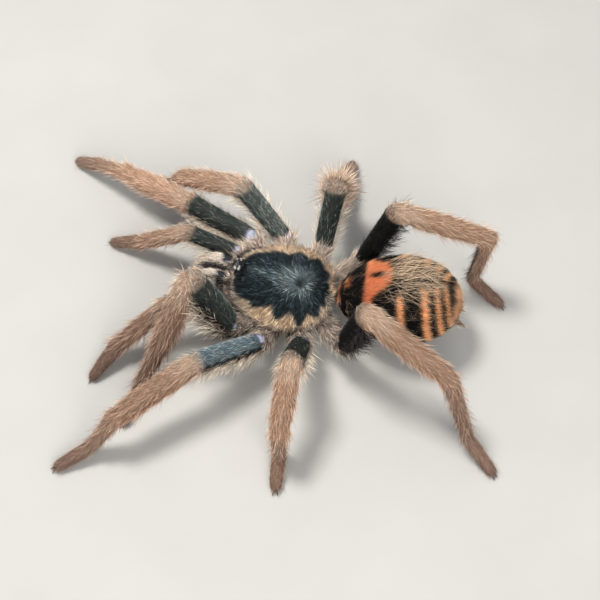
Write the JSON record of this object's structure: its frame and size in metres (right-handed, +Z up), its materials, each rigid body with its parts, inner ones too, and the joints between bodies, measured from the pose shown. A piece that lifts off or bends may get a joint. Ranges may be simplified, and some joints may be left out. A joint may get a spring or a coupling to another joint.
{
  "type": "tarantula",
  "caption": "Still, life-size tiger-rump tarantula standing on its feet: dark carapace and thighs, tan hairy lower legs, and an orange abdomen with black bands.",
  "frame": {"origin": "middle of the bounding box's underside, on the floor under the spider", "axes": "+Z up, -Y the way the spider faces, +X its left side"},
  "size_m": [0.0642, 0.0768, 0.02],
  "materials": {
    "carapace_coat": "short dark green-black hair with a tan fringe",
    "abdomen_coat": "velvety orange and black bands under long pale hair",
    "dark_coat": "velvety green-black hair with a slight sheen",
    "tan_coat": "fine tan to pinkish-brown hair with long pale bristles",
    "hip_coat": "pinkish-tan hair over brown skin",
    "jaw_coat": "beige hair with dark bristles",
    "skin": "thin brown skin, softly glossy where bare",
    "fang": "polished black horn",
    "eye": "wet black"
  },
  "bodies": {
    "root": {"abdomen": "abdomen_coat", "carapace": "carapace_coat", "chelicera_left": "jaw_coat", "chelicera_right": "jaw_coat", "eye_mound": "eye", "fang_left": "fang", "fang_right": "fang", "leg_1_left_coxa": "hip_coat", "leg_1_left_femur": "dark_coat", "leg_1_left_metatarsus": "tan_coat", "leg_1_left_tarsus": "tan_coat", "leg_1_left_tibia": "tan_coat", "leg_1_right_coxa": "hip_coat", "leg_1_right_femur": "dark_coat", "leg_1_right_metatarsus": "tan_coat", "leg_1_right_tarsus": "tan_coat", "leg_1_right_tibia": "tan_coat", "leg_2_left_coxa": "hip_coat", "leg_2_left_femur": "dark_coat", "leg_2_left_metatarsus": "tan_coat", "leg_2_left_tarsus": "tan_coat", "leg_2_left_tibia": "tan_coat", "leg_2_right_coxa": "hip_coat", "leg_2_right_femur": "dark_coat", "leg_2_right_metatarsus": "tan_coat", "leg_2_right_tarsus": "tan_coat", "leg_2_right_tibia": "tan_coat", "leg_3_left_coxa": "hip_coat", "leg_3_left_femur": "dark_coat", "leg_3_left_metatarsus": "tan_coat", "leg_3_left_tarsus": "tan_coat", "leg_3_left_tibia": "tan_coat", "leg_3_right_coxa": "hip_coat", "leg_3_right_femur": "dark_coat", "leg_3_right_metatarsus": "tan_coat", "leg_3_right_tarsus": "tan_coat", "leg_3_right_tibia": "tan_coat", "leg_4_left_coxa": "hip_coat", "leg_4_left_femur": "dark_coat", "leg_4_left_metatarsus": "tan_coat", "leg_4_left_tarsus": "tan_coat", "leg_4_left_tibia": "tan_coat", "leg_4_right_coxa": "hip_coat", "leg_4_right_femur": "dark_coat", "leg_4_right_metatarsus": "tan_coat", "leg_4_right_tarsus": "tan_coat", "leg_4_right_tibia": "tan_coat", "palp_left_coxa": "hip_coat", "palp_left_femur": "dark_coat", "palp_left_tarsus": "tan_coat", "palp_left_tibia": "tan_coat", "palp_right_coxa": "hip_coat", "palp_right_femur": "dark_coat", "palp_right_tarsus": "tan_coat", "palp_right_tibia": "tan_coat", "pedicel": "skin", "spinneret_left": "skin", "spinneret_right": "skin", "sternum": "skin"}
  },
  "joints": []
}
